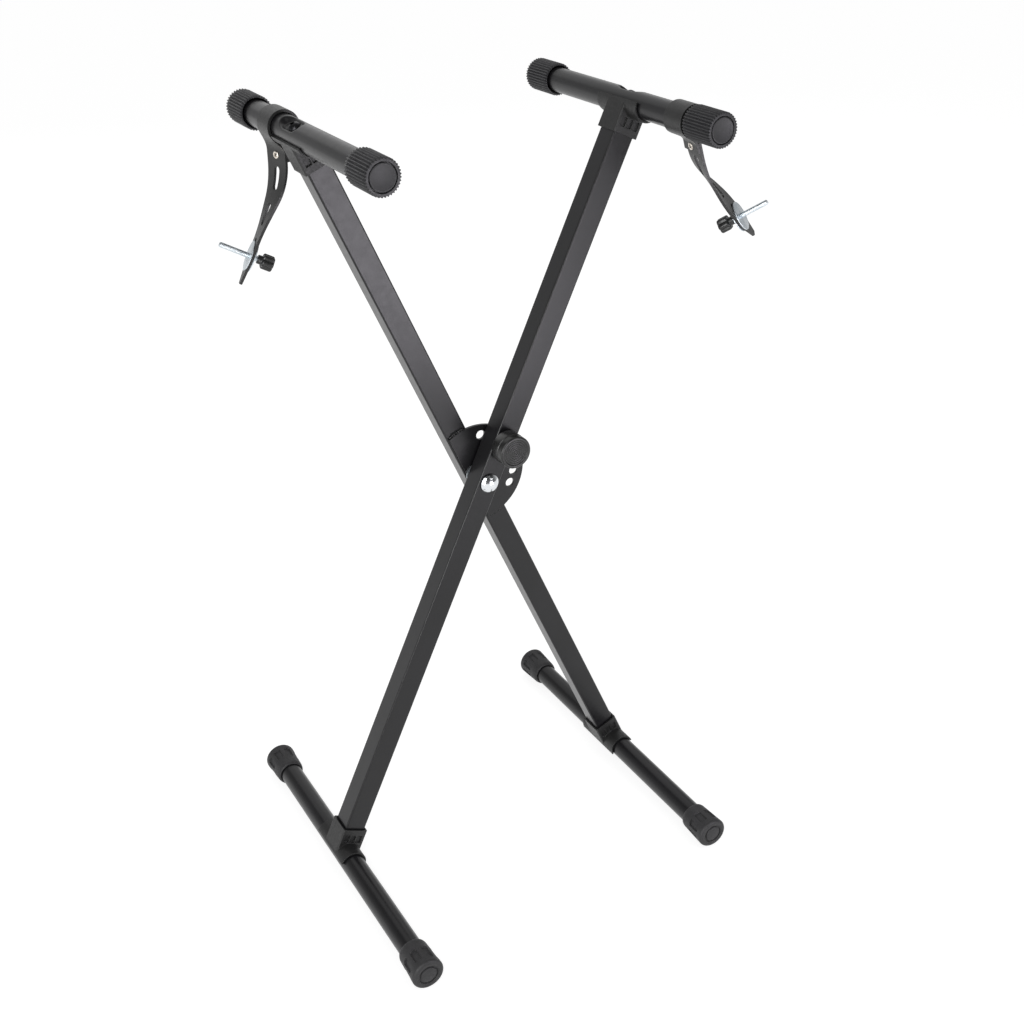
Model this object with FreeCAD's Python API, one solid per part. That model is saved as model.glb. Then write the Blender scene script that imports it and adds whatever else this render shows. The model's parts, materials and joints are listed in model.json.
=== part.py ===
"""Folding X keyboard stand: two crossed square legs on a pivot bolt, a foot tube and an arm tube on each,
a spring lock in a hole plate, and two hold-down straps with thumbscrews. Millimetres, +Z up."""
import FreeCAD, Part
import math
import os

# Legs and stance
leg_width = 28.0            # square tube, outer
leg_wall = 1.5
leg_corner = 2.0            # outer corner radius
leg_gap = 5.0               # between the two legs, filled by the lock plate and a glide washer
leg_tilt_deg = 24.3         # each leg from the vertical, as the stand is set up
foot_reach = 523.0          # pivot to the axis of the foot tube, along the leg
arm_reach = 464.0           # pivot to the axis of the arm tube, along the leg
leg_setback = 19.0          # end of the leg to the axis of its cross tube

# Cross tubes
tube_diameter = 28.6
tube_wall = 1.5
foot_span = 470.0           # over the two foot caps
arm_span = 369.0            # over the two grips
foot_hole_offset = 16.5     # bolt hole from the middle of each foot tube
left_arm_hole_offset = 20.75
right_arm_hole_offset = 12.25
pocket_length = 32.0        # pressed pocket that sinks the bolt head, along the tube
pocket_width = 17.0
pocket_depth = 6.0

# Saddles between leg and cross tube
saddle_wall = 3.0
saddle_length = 76.0
saddle_height = 36.0        # tube axis to the mouth of the leg socket
saddle_corner = 2.0
saddle_mouth_gap = 0.9      # shadow gap round the leg and the tube where they enter
saddle_mouth_depth = 1.6
saddle_rib = 1.6
saddle_recess_depth = 2.2
saddle_recess_base = 17.8   # tube axis to the foot of the recesses
saddle_recess_height = 10.5
saddle_recess_edge = 4.5    # solid border at each side of the recesses

# Bolts that hold the cross tubes
bolt_diameter = 8.0
bolt_head_diameter = 15.0
bolt_head_height = 4.6
bolt_socket_width = 5.0     # across flats
bolt_socket_depth = 2.6
insert_length = 30.0
insert_corner = 1.4

# Foot caps
cap_length = 45.0
cap_end_wall = 6.0
cap_radius = 20.0
cap_shoulder_radius = 18.2
cap_mouth_radius = 15.7
cap_shoulder_length = 7.0
cap_edge = 4.0              # rounding of the outer rim
cap_flare = 0.4             # widening of the bore at the mouth
cap_flare_length = 2.0
cap_groove_radius = 10.6
cap_groove_width = 1.6
cap_groove_depth = 1.0
cap_pocket_count = 8
cap_pocket_length = 18.0
cap_pocket_width = 8.5
cap_pocket_depth = 1.5
cap_pocket_start = 17.0     # from the mouth
cap_flat = 0.5              # flat worn on the underside, where the stand rests

# Grips on the arms
grip_length = 46.5
grip_radius = 18.9
grip_edge = 0.8
grip_flute_count = 36
grip_flute_radius = 1.1
grip_flare = 1.9
grip_flare_length = 5.0
plug_radius = 13.6
plug_thickness = 3.0
plug_stem_length = 14.0
plug_groove = 0.9           # open ring between plug and grip

# Pivot
pivot_diameter = 10.0
pivot_head_diameter = 23.4
pivot_head_height = 6.5
pivot_washer_diameter = 22.0
pivot_washer_thickness = 1.5
glide_diameter = 30.0
glide_thickness = 1.2
pivot_sleeve_diameter = 14.0
pivot_nut_width = 17.0      # across flats
pivot_nut_height = 8.2
pivot_thread_stickout = 1.6

# Lock plate and spring pin
plate_thickness = 3.5
plate_radius = 63.5
plate_edge_offset = 12.0    # straight edge of the plate, beyond the axis of the rear leg
lock_radius = 50.5          # pivot to the ring of lock holes
lock_hole_diameter = 11.5
lock_hole_count = 7
lock_hole_step_deg = 18.5
weld_size = 2.2
weld_arc_deg = 19.0         # bead round each end of the plate's rim, on the rear leg
pin_diameter = 10.0
pin_neck_diameter = 8.0
pin_shoulder_diameter = 12.6
pin_shoulder_length = 2.0
pin_rest_gap = 0.4          # nose of the drawn pin to the plate
pin_travel_in = 2.8         # from drawn to home in the plate
pin_travel_out = 8.0        # further pull
housing_diameter = 16.0
housing_flange_diameter = 24.0
housing_flange_thickness = 4.0
housing_chamber_diameter = 13.0
housing_front_wall = 2.0
housing_nose_wall = 6.0
spring_inner_diameter = 9.0
spring_outer_diameter = 12.2
knob_diameter = 40.0
knob_length = 24.0
knob_edge = 2.5
knob_skirt_diameter = 27.0
knob_skirt_depth = 8.5
knob_lift = 5.0             # underside of the drawn knob to the leg
knob_bore_depth = 18.0      # pin held in the knob, from its underside

# Straps
strap_width = 31.0
strap_thickness = 3.0
strap_ring_gap = 0.8        # loose fit of the ring on the arm
strap_offset = 4.0          # tail outward of the arm's axis
strap_drop = 60.0           # arm axis to the bend of the tail
strap_bend_deg = 27.3
strap_bend_radius = 90.0
strap_screw_distance = 85.0  # bend to the thumbscrew
strap_tip_distance = 32.0   # thumbscrew to the tip
strap_tip_width = 7.0
left_rivet_twist_deg = -16.0
left_screw_twist_deg = 14.5
right_rivet_twist_deg = 8.0
right_screw_twist_deg = 39.5
strap_station_count = 22
strap_slot_length = 26.0
strap_slot_width = 8.6
strap_slot_pitch = 40.0
strap_slot_start = 43.0     # arm axis to the first slot, along the tail
strap_slot_count = 3
rivet_distance = 31.0       # arm axis to the rivet, along the tail
rivet_head_diameter = 8.6
rivet_head_height = 1.2
rivet_shank_diameter = 5.0
rivet_margin = 0.5          # flat strap round the head
left_strap_gap = 0.5        # ring to the rear end of the left saddle
right_strap_gap = 2.8       # ring to the front grip of the right arm
left_strap_swing_deg = 0.0
right_strap_swing_deg = 17.5

# Thumbscrews
screw_diameter = 6.0        # over the thread of the free end
screw_shank_diameter = 5.4
screw_reach = 36.0          # free end beyond the middle of the strap
screw_washer_diameter = 34.0
screw_washer_thickness = 1.3
screw_collar_diameter = 10.0
screw_collar_length = 5.0
screw_knob_radius = 8.8
screw_knob_length = 13.0
screw_knob_lobes = 6
screw_knob_scallop = 2.4
screw_knob_gap = 4.5        # washer to the collar of the knob

# Fits
press_gap = 0.1             # between pieces pushed together by hand, radial
running_gap = 0.075         # between turning or sliding pieces, radial
face_gap = 0.3              # between faces that slide past each other
overrun = 2.0               # how far cutting tools pass the faces they cut

# Values that follow from the above
tube_radius = tube_diameter / 2
leg_pitch = leg_width + leg_gap
leg_half = leg_width / 2
foot_height = cap_radius - cap_flat
pivot_height = foot_height + foot_reach * math.cos(math.radians(leg_tilt_deg))
plate_front = leg_half + leg_gap - plate_thickness
folded_angle_deg = 2 * leg_tilt_deg - lock_hole_step_deg
open_angle_deg = folded_angle_deg + (lock_hole_count - 1) * lock_hole_step_deg
pocket_floor = tube_radius - pocket_depth
left_strap_place = saddle_length / 2 + left_strap_gap + strap_width / 2
right_grip_mouth = right_arm_hole_offset - arm_span / 2 + grip_length
right_strap_place = right_grip_mouth + right_strap_gap + strap_width / 2
left_twists = (math.radians(left_rivet_twist_deg), math.radians(left_screw_twist_deg))
right_twists = (math.radians(right_rivet_twist_deg), math.radians(right_screw_twist_deg))

ORIGIN = FreeCAD.Vector()
X_AXIS = FreeCAD.Vector(1, 0, 0)
Y_AXIS = FreeCAD.Vector(0, 1, 0)
Z_AXIS = FreeCAD.Vector(0, 0, 1)


# Shape helpers

def at(x=0, y=0, z=0):
    return FreeCAD.Vector(x, y, z)


def turn(axis, degrees):
    return FreeCAD.Placement(ORIGIN, FreeCAD.Rotation(axis, degrees))


def shift(x=0, y=0, z=0):
    return FreeCAD.Placement(at(x, y, z), FreeCAD.Rotation())


def placed(shape, placement):
    """Copy of a shape, carried by a placement."""
    copy = shape.copy()
    copy.Placement = placement.multiply(shape.Placement)
    return copy


def block(x_size, y_size, z_low, z_high):
    """Box centred on the Z axis."""
    return Part.makeBox(x_size, y_size, z_high - z_low, at(-x_size / 2, -y_size / 2, z_low))


def round_upright_edges(solid, radius):
    """Rounds the edges that run along Z."""
    edges = [edge for edge in solid.Edges
             if edge.Curve.TypeId == "Part::GeomLine" and abs(edge.tangentAt(edge.FirstParameter).z) > 0.99]
    return solid.makeFillet(radius, edges)


def disc(radius, y_low, y_high, x=0, z=0):
    """Cylinder along Y."""
    return Part.makeCylinder(radius, y_high - y_low, at(x, y_low, z), Y_AXIS)


def ring(outer_radius, inner_radius, y_low, y_high, x=0, z=0):
    outer = disc(outer_radius, y_low, y_high, x, z)
    return outer.cut(disc(inner_radius, y_low - overrun, y_high + overrun, x, z))


def hexagon(width, y_low, y_high):
    """Six-sided bar along Y, sized across its flats."""
    corner = width / math.sqrt(3)
    angles = [math.radians(60 * k) for k in range(7)]
    points = [at(corner * math.cos(angle), y_low, corner * math.sin(angle)) for angle in angles]
    return Part.Face(Part.makePolygon(points)).extrude(at(0, y_high - y_low, 0))


def lathe(outline):
    """Turned solid about Y. The outline lists (along, radius) corners, and an arc as its middle and end."""
    edges = []
    here = outline[0]
    for step in outline[1:] + outline[:1]:
        if isinstance(step[0], tuple):
            corners = [at(radius, along) for along, radius in (here,) + step]
            edges.append(Part.Arc(*corners).toShape())
            here = step[-1]
        else:
            edges.append(Part.LineSegment(at(here[1], here[0]), at(step[1], step[0])).toShape())
            here = step
    return Part.Face(Part.Wire(edges)).revolve(ORIGIN, Y_AXIS, 360)


def round_middle(rim, side):
    """Middle of a rounded corner that leaves the rim along the radius and meets the side along the axis."""
    bend = math.radians(45)
    along = rim[0] + (side[0] - rim[0]) * (1 - math.cos(bend))
    return along, rim[1] + (side[1] - rim[1]) * math.sin(bend)


def domed_head(radius, height):
    """Bolt head, a cap of a sphere with its crown towards -Y and its seat at the origin."""
    dome = (radius ** 2 + height ** 2) / (2 * height)
    return Part.makeSphere(dome, at(0, dome - height, 0)).common(disc(radius, -height, 0))


def around_y(shape, count):
    """Copies of a shape spread evenly about Y."""
    return [placed(shape, turn(Y_AXIS, 360 * k / count)) for k in range(count)]


def stadium(width, length, z_low, z_high):
    """Upright bar with round ends, long in Y."""
    straight = length - width
    bar = block(width, straight, z_low, z_high)
    for end in (-straight / 2, straight / 2):
        bar = bar.fuse(Part.makeCylinder(width / 2, z_high - z_low, at(0, end, z_low)))
    return bar.removeSplitter()


# Legs. Built upright with the pivot at the origin and the other leg on the +Y side.

def leg():
    low = leg_setback - foot_reach
    high = arm_reach - leg_setback
    outside = round_upright_edges(block(leg_width, leg_width, low, high), leg_corner)
    bore = leg_width - 2 * leg_wall
    inside = round_upright_edges(block(bore, bore, low - overrun, high + overrun), leg_corner - leg_wall)
    return outside.cut(inside)


def drilled(piece, diameter, gap, z=0):
    """Hole along Y right through a leg."""
    return piece.cut(disc(diameter / 2 + gap, -leg_half - overrun, leg_half + overrun, 0, z))


def front_leg():
    return drilled(drilled(leg(), pivot_diameter, press_gap), housing_diameter, running_gap, lock_radius)


def rear_leg():
    return drilled(leg(), pivot_sleeve_diameter, press_gap)


# Cross tube joint. Tube along Y with its axis at the origin, leg on the +Z side, bolt head on the -Z side.

def cross_tube(length, offset):
    low = offset - length / 2
    high = offset + length / 2
    outside = disc(tube_radius, low, high)
    wall = outside.cut(disc(tube_radius - tube_wall, low - overrun, high + overrun))
    top = -tube_radius - overrun
    pocket = stadium(pocket_width, pocket_length, top, -pocket_floor)
    cup = stadium(pocket_width + 2 * tube_wall, pocket_length + 2 * tube_wall, top, tube_wall - pocket_floor)
    wall = wall.cut(pocket).fuse(cup.cut(pocket).common(outside))
    hole = Part.makeCylinder(bolt_diameter / 2 + press_gap, tube_diameter + overrun, at(0, 0, -tube_radius))
    return wall.cut(hole).removeSplitter()


def saddle():
    side = leg_width + 2 * saddle_wall
    ring_radius = tube_radius + saddle_wall
    socket_block = round_upright_edges(block(side, side, 0, saddle_height), saddle_corner)
    collar = disc(ring_radius, -saddle_length / 2, saddle_length / 2)
    upper = block(2 * ring_radius, saddle_length, 0, ring_radius)
    body = socket_block.fuse(collar.common(upper))
    reach = saddle_length / 2 + overrun
    body = body.cut(disc(tube_radius + press_gap, -reach, reach))
    socket = leg_width + 2 * press_gap
    mouth = socket + 2 * saddle_mouth_gap
    for width, low in ((socket, leg_setback), (mouth, saddle_height - saddle_mouth_depth)):
        body = body.cut(round_upright_edges(block(width, width, low, saddle_height + overrun), leg_corner))
    flare_start = saddle_length / 2 - saddle_mouth_depth
    for low, high in ((-reach, -flare_start), (flare_start, reach)):
        body = body.cut(disc(tube_radius + saddle_mouth_gap, low, high))
    body = body.cut(Part.makeCylinder(bolt_diameter / 2 + press_gap, saddle_height))
    recess_width = (side - 2 * saddle_recess_edge - 2 * saddle_rib) / 3
    recess_top = saddle_recess_base + saddle_recess_height
    recess = block(recess_width, saddle_recess_depth, saddle_recess_base, recess_top)
    for number in (-1, 0, 1):
        for face in (-1, 1):
            depth_place = face * (side - saddle_recess_depth) / 2
            body = body.cut(placed(recess, shift(number * (recess_width + saddle_rib), depth_place)))
    return body.removeSplitter()


def leg_insert():
    width = leg_width - 2 * leg_wall - 2 * press_gap
    plug = round_upright_edges(block(width, width, leg_setback, leg_setback + insert_length), insert_corner)
    return plug.cut(Part.makeCylinder(bolt_diameter / 2 + press_gap, saddle_height + insert_length))


def tube_bolt():
    """Button head in the pocket of the tube, shank up into the insert of the leg."""
    head = domed_head(bolt_head_diameter / 2, bolt_head_height)
    socket_floor = bolt_socket_depth - bolt_head_height
    head = head.cut(hexagon(bolt_socket_width, -bolt_head_height - overrun, socket_floor))
    head = placed(head, turn(X_AXIS, 90))
    shank = Part.makeCylinder(bolt_diameter / 2, pocket_floor + leg_setback + insert_length - overrun)
    return placed(head.fuse(shank), shift(0, 0, -pocket_floor)).removeSplitter()


# Foot caps and grips. Mouth at the origin, closed end towards +Y.

def foot_cap():
    bore = tube_radius + press_gap
    inner_end = cap_length - cap_end_wall
    rim = cap_radius - cap_edge
    groove_floor = cap_length - cap_groove_depth
    groove_edge = cap_groove_radius + cap_groove_width
    mouth = (0, cap_mouth_radius)
    shoulder = (cap_shoulder_length, cap_shoulder_radius)
    face_edge = (cap_length, rim)
    side = (cap_length - cap_edge, cap_radius)
    outline = [(cap_flare_length, bore), (inner_end, bore), (inner_end, 0), (cap_length, 0),
               (cap_length, cap_groove_radius), (groove_floor, cap_groove_radius),
               (groove_floor, groove_edge), (cap_length, groove_edge), face_edge,
               (round_middle(face_edge, side), side), shoulder,
               (round_middle(mouth, shoulder), mouth), (0, bore + cap_flare)]
    cap = lathe(outline)
    pocket_middle = cap_pocket_start + cap_pocket_length / 2
    skin = cap_shoulder_radius + (cap_radius - cap_shoulder_radius) * pocket_middle / cap_length
    pocket = stadium(cap_pocket_width, cap_pocket_length, skin - cap_pocket_depth, cap_radius + overrun)
    pocket = placed(pocket, shift(0, pocket_middle))
    half_step = turn(Y_AXIS, 180 / cap_pocket_count)
    cap = cap.cut(around_y(placed(pocket, half_step), cap_pocket_count))
    below = block(2 * cap_radius, 2 * cap_length + overrun, -cap_radius - overrun, cap_flat - cap_radius)
    return cap.cut(below)


def grip():
    bore = tube_radius + press_gap
    seat = plug_radius + plug_groove
    seat_start = grip_length - plug_thickness
    outline = [(grip_flare_length, bore), (seat_start, bore), (seat_start, seat), (grip_length, seat),
               (grip_length, grip_radius - grip_edge), (grip_length - grip_edge, grip_radius),
               (grip_edge, grip_radius), (0, grip_radius - grip_edge), (0, bore + grip_flare)]
    sleeve = lathe(outline)
    flute = disc(grip_flute_radius, -overrun, grip_length + overrun, 0, grip_radius)
    return sleeve.cut(around_y(flute, grip_flute_count))


def end_plug():
    """Flat disc in the end of a grip, with a stem in the tube."""
    face = disc(plug_radius, grip_length - plug_thickness, grip_length)
    stem_end = grip_length - plug_thickness
    stem = disc(tube_radius - tube_wall - press_gap, stem_end - plug_stem_length, stem_end)
    return face.fuse(stem).removeSplitter()


# Pivot. Axis along Y through the origin, middle of the front leg at y = 0.

rear_face = leg_half + leg_pitch


def pivot_bolt():
    seat = -leg_half - pivot_washer_thickness
    head = placed(domed_head(pivot_head_diameter / 2, pivot_head_height), shift(0, seat))
    end = rear_face + face_gap + pivot_washer_thickness + pivot_nut_height + pivot_thread_stickout
    return head.fuse(disc(pivot_diameter / 2, seat, end)).removeSplitter()


def pivot_washers():
    """Steel washers under the head and under the nut."""
    bore = pivot_diameter / 2 + press_gap
    radius = pivot_washer_diameter / 2
    front = ring(radius, bore, -leg_half - pivot_washer_thickness, -leg_half)
    back = ring(radius, bore, rear_face + face_gap, rear_face + face_gap + pivot_washer_thickness)
    return Part.makeCompound([front, back])


def pivot_nut():
    seat = rear_face + face_gap + pivot_washer_thickness
    nut = hexagon(pivot_nut_width, seat, seat + pivot_nut_height)
    return nut.cut(disc(pivot_diameter / 2 + press_gap, seat - overrun, seat + pivot_nut_height + overrun))


def pivot_glide():
    """Thin washer that keeps the lock plate off the front leg."""
    return ring(glide_diameter / 2, pivot_diameter / 2 + press_gap, leg_half, leg_half + glide_thickness)


def pivot_spacer():
    """Sleeve that stops the bolt from squeezing the front leg."""
    inside = leg_half - leg_wall
    return ring(pivot_sleeve_diameter / 2, pivot_diameter / 2 + press_gap, -inside, inside)


def pivot_bushing():
    """Bearing sleeve through both walls of the rear leg, which turns on the bolt."""
    return ring(pivot_sleeve_diameter / 2, pivot_diameter / 2 + running_gap, leg_half + leg_gap, rear_face)


# Lock plate. Rear leg upright with its pivot at the origin, plate on its front face.

def lock_plate():
    back = plate_front + plate_thickness
    plate = disc(plate_radius, plate_front, back)
    kept_width = plate_edge_offset + plate_radius + overrun
    kept_height = 2 * (plate_radius + overrun)
    kept_corner = at(-plate_edge_offset, 0, -kept_height / 2)
    plate = plate.common(Part.makeBox(kept_width, leg_pitch, kept_height, kept_corner))
    plate = plate.cut(disc(pivot_diameter / 2 + press_gap + face_gap, plate_front - overrun, back + overrun))
    hole = disc(lock_hole_diameter / 2, plate_front - overrun, back + overrun, 0, lock_radius)
    for number in range(lock_hole_count):
        angle = folded_angle_deg + number * lock_hole_step_deg
        plate = plate.cut(placed(hole, turn(Y_AXIS, angle)))
    return plate


def plate_welds():
    """Fillet beads between the rear leg and the rim of the plate, above and below the pivot."""
    corner = at(0, plate_front + plate_thickness, plate_radius)
    points = [corner, corner + at(0, 0, weld_size), corner - at(0, weld_size), corner]
    section = Part.Face(Part.makePolygon(points))
    beads = []
    for middle in (0, 180):
        start = placed(section, turn(Y_AXIS, middle - weld_arc_deg / 2))
        beads.append(start.revolve(ORIGIN, Y_AXIS, weld_arc_deg))
    return Part.makeCompound(beads)


# Spring pin of the lock. Front leg upright, pivot at the origin, pin along Y at lock_radius up the leg.

chamber_front = -leg_half - housing_flange_thickness + housing_front_wall
chamber_back = leg_half - housing_nose_wall
shoulder_back = chamber_back - pin_travel_in - face_gap
shoulder_front = shoulder_back - pin_shoulder_length
nose_tip = plate_front - pin_rest_gap
knob_back = -leg_half - knob_lift
knob_front = knob_back - knob_length


def lock_housing():
    flange_front = -leg_half - housing_flange_thickness
    body = disc(housing_diameter / 2, -leg_half, leg_half, 0, lock_radius)
    body = body.fuse(disc(housing_flange_diameter / 2, flange_front, -leg_half, 0, lock_radius))
    body = body.cut(disc(housing_chamber_diameter / 2, chamber_front, chamber_back, 0, lock_radius))
    nose_bore = pin_diameter / 2 + running_gap
    body = body.cut(disc(nose_bore, chamber_back - overrun, leg_half + overrun, 0, lock_radius))
    neck_bore = pin_neck_diameter / 2 + running_gap
    return body.cut(disc(neck_bore, flange_front - overrun, chamber_front + overrun, 0, lock_radius))


def lock_pin():
    neck_end = knob_back - knob_bore_depth
    pin = disc(pin_neck_diameter / 2, neck_end, shoulder_front, 0, lock_radius)
    pin = pin.fuse(disc(pin_shoulder_diameter / 2, shoulder_front, shoulder_back, 0, lock_radius))
    return pin.fuse(disc(pin_diameter / 2, shoulder_back, nose_tip, 0, lock_radius)).removeSplitter()


def lock_spring():
    """Space taken by the spring that drives the pin home."""
    outer = spring_outer_diameter / 2
    return ring(outer, spring_inner_diameter / 2, chamber_front, shoulder_front, 0, lock_radius)


def lock_knob():
    radius = knob_diameter / 2
    face_edge = (knob_front, radius - knob_edge)
    side = (knob_front + knob_edge, radius)
    neck = pin_neck_diameter / 2 + press_gap
    skirt = knob_skirt_diameter / 2
    skirt_end = knob_back - knob_skirt_depth
    bore_end = knob_back - knob_bore_depth
    outline = [(knob_front, 0), face_edge, (round_middle(face_edge, side), side), (knob_back, radius),
               (knob_back, skirt), (skirt_end, skirt), (skirt_end, neck), (bore_end, neck), (bore_end, 0)]
    return placed(lathe(outline), shift(0, 0, lock_radius))


# Straps. Arm axis along Y through the origin, tail down, +X outward. Twists are at the rivet and the screw.

bend_start = strap_drop - strap_bend_radius * math.tan(math.radians(strap_bend_deg) / 2)
bend_length = strap_bend_radius * math.radians(strap_bend_deg)
screw_station = bend_start + bend_length + strap_screw_distance - (strap_drop - bend_start)
tip_station = screw_station + strap_tip_distance
twist_end = screw_station - screw_washer_diameter / 2
ring_inner = tube_radius + strap_ring_gap
ring_outer = ring_inner + strap_thickness
rivet_reach = rivet_head_diameter / 2 + rivet_margin
tail_root = ring_inner + strap_thickness / 2


def tail_point(station):
    """Place on the middle line of the tail and its angle from straight down."""
    if station <= bend_start:
        return at(strap_offset, 0, -station), 0.0
    turned = min((station - bend_start) / strap_bend_radius, math.radians(strap_bend_deg))
    out = strap_offset + strap_bend_radius * (1 - math.cos(turned))
    down = bend_start + strap_bend_radius * math.sin(turned)
    beyond = station - bend_start - strap_bend_radius * turned
    return at(out + beyond * math.sin(turned), 0, -down - beyond * math.cos(turned)), turned


def ease(station, start, end):
    """Smooth step from 0 at the start to 1 at the end."""
    share = min(max((station - start) / (end - start), 0), 1)
    return share * share * (3 - 2 * share)


def tail_frame(station, twists):
    """Point, outward normal and width direction of the twisting tail."""
    point, turned = tail_point(station)
    twist = twists[0] * ease(station, ring_outer, rivet_distance - rivet_reach)
    twist += (twists[1] - twists[0]) * ease(station, bend_start, twist_end)
    square = at(math.cos(turned), 0, math.sin(turned))
    normal = square * math.cos(twist) - Y_AXIS * math.sin(twist)
    across = Y_AXIS * math.cos(twist) + square * math.sin(twist)
    return point, normal, across


def band(stations, widths, thickness, twists):
    """Bar of oblong section that follows the tail."""
    wires = []
    for station, width in zip(stations, widths):
        point, normal, across = tail_frame(station, twists)
        side = across * (width / 2)
        out = normal * (thickness / 2)
        wires.append(Part.makePolygon([point + side + out, point - side + out, point - side - out,
                                       point + side - out, point + side + out]))
    return Part.makeLoft(wires, True, True)


def evenly(start, end, count):
    return [start + (end - start) * k / (count - 1) for k in range(count)]


def strap(twists):
    loop = ring(ring_outer, ring_inner, -strap_width / 2, strap_width / 2)
    stations = [tail_root] + evenly(ring_outer, rivet_distance - rivet_reach, strap_station_count // 4)
    stations += evenly(rivet_distance + rivet_reach, screw_station, strap_station_count)
    widths = [strap_width] * len(stations) + [strap_tip_width]
    stations.append(tip_station)
    piece = loop.fuse(band(stations, widths, strap_thickness, twists))
    through = strap_thickness + 2 * overrun
    for number in range(strap_slot_count):
        start = strap_slot_start + number * strap_slot_pitch
        cut_stations = evenly(start, start + strap_slot_length, strap_station_count // 2)
        slot = band(cut_stations, [strap_slot_width] * len(cut_stations), through, twists)
        piece = piece.cut(slot)
    point, normal, across = tail_frame(rivet_distance, twists)
    hole_radius = rivet_shank_diameter / 2 + press_gap
    hole = Part.makeCylinder(hole_radius, through, point - normal * (through / 2), normal)
    return piece.cut(hole).removeSplitter()


def strap_rivet(twists):
    point, normal, across = tail_frame(rivet_distance, twists)
    face = strap_thickness / 2
    rivet = Part.makeCylinder(rivet_shank_diameter / 2, strap_thickness, point - normal * face, normal)
    for outward in (normal, -normal):
        seat = point + outward * face
        rivet = rivet.fuse(Part.makeCylinder(rivet_head_diameter / 2, rivet_head_height, seat, outward))
    return rivet.removeSplitter()


def strap_washers(twists):
    """One washer on each face of the strap, round the thumbscrew."""
    point, normal, across = tail_frame(screw_station, twists)
    face = strap_thickness / 2
    bore_radius = screw_diameter / 2 + running_gap
    bore = Part.makeCylinder(bore_radius, screw_reach, point - normal * (screw_reach / 2), normal)
    discs = []
    for outward in (normal, -normal):
        seat = point + outward * face
        washer = Part.makeCylinder(screw_washer_diameter / 2, screw_washer_thickness, seat, outward)
        discs.append(washer.cut(bore))
    return Part.makeCompound(discs)


# Thumbscrews. Built along Y with the middle of the strap at the origin and the free end towards +Y.

collar_front = -strap_thickness / 2 - screw_washer_thickness - screw_knob_gap
knob_face = collar_front - screw_collar_length
knob_end = knob_face - screw_knob_length
thread_start = strap_thickness / 2 + screw_washer_thickness + face_gap


def thumbscrew():
    """Threaded free end on a thinner shank, which passes the strap and is held in the knob."""
    shank = disc(screw_shank_diameter / 2, knob_end + screw_collar_length, thread_start)
    return shank.fuse(disc(screw_diameter / 2, thread_start, screw_reach)).removeSplitter()


def thumb_knob():
    knob = disc(screw_knob_radius, knob_end, knob_face)
    scallop = disc(screw_knob_scallop, knob_end - overrun, knob_face + overrun, 0, screw_knob_radius)
    knob = knob.cut(around_y(scallop, screw_knob_lobes))
    knob = knob.fuse(disc(screw_collar_diameter / 2, knob_face, collar_front))
    bore = disc(screw_shank_diameter / 2 + press_gap, knob_end + screw_collar_length, collar_front + overrun)
    return knob.cut(bore).removeSplitter()


# Placing. Front frame leans right, rear frame leans left and faces the front one.

front_frame = shift(0, 0, pivot_height).multiply(turn(Y_AXIS, leg_tilt_deg))
rear_frame = shift(0, leg_pitch, pivot_height).multiply(turn(Y_AXIS, -leg_tilt_deg))
rear_facing = rear_frame.multiply(turn(Z_AXIS, 180))
plate_frame = shift(0, 0, pivot_height).multiply(turn(Y_AXIS, -leg_tilt_deg))
foot_joint = shift(0, 0, -foot_reach)
arm_joint = shift(0, 0, arm_reach).multiply(turn(Y_AXIS, 180))


def tube_joint(side, kind, frame, joint, length, offset):
    """Tube, saddle, insert and bolt at one end of a leg."""
    place = frame.multiply(joint)
    pieces = {"tube": cross_tube(length, offset), "saddle": saddle(),
              "insert": leg_insert(), "bolt": tube_bolt()}
    return {f"{side}_{kind}_{name}": placed(shape, place) for name, shape in pieces.items()}


def end_places(centre, span, length):
    """Places of the pieces on the front and rear ends of a cross tube, closed end outward."""
    reach = span / 2 - length
    front = FreeCAD.Placement(centre - Y_AXIS * reach, FreeCAD.Rotation(Z_AXIS, 180))
    return {"front": front, "rear": FreeCAD.Placement(centre + Y_AXIS * reach, FreeCAD.Rotation())}


def foot_set(side, frame, towards_other):
    length = foot_span - 2 * cap_end_wall
    nodes = tube_joint(side, "foot", frame, foot_joint, length, towards_other * foot_hole_offset)
    centre = frame.multVec(at(0, towards_other * foot_hole_offset, -foot_reach))
    for end, place in end_places(centre, foot_span, cap_length).items():
        nodes[f"{side}_foot_cap_{end}"] = placed(foot_cap(), place)
    return nodes


def arm_set(side, frame, offset):
    length = arm_span - 2 * plug_thickness
    nodes = tube_joint(side, "arm", frame, arm_joint, length, offset)
    centre = frame.multVec(at(0, offset, arm_reach))
    for end, place in end_places(centre, arm_span, grip_length).items():
        nodes[f"{side}_arm_grip_{end}"] = placed(grip(), place)
        nodes[f"{side}_arm_plug_{end}"] = placed(end_plug(), place)
    return nodes


def strap_set(side, frame, along, facing_deg, swing_deg, twists):
    """Strap, rivet, washers and thumbscrew on one arm, and the line of the screw."""
    axis_point = frame.multVec(at(0, 0, arm_reach)) + Y_AXIS * along
    facing = FreeCAD.Placement(axis_point, FreeCAD.Rotation(Z_AXIS, facing_deg))
    place = facing.multiply(turn(Y_AXIS, -swing_deg))
    nodes = {f"{side}_strap": strap(twists), f"{side}_strap_rivet": strap_rivet(twists),
             f"{side}_strap_washers": strap_washers(twists)}
    point, normal, across = tail_frame(screw_station, twists)
    screw_place = FreeCAD.Placement(point, FreeCAD.Rotation(Y_AXIS, normal))
    nodes[f"{side}_screw"] = placed(thumbscrew(), screw_place)
    nodes[f"{side}_screw_knob"] = placed(thumb_knob(), screw_place)
    nodes = {name: placed(shape, place) for name, shape in nodes.items()}
    return nodes, axis_point, place.multVec(point), place.Rotation.multVec(normal)


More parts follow.
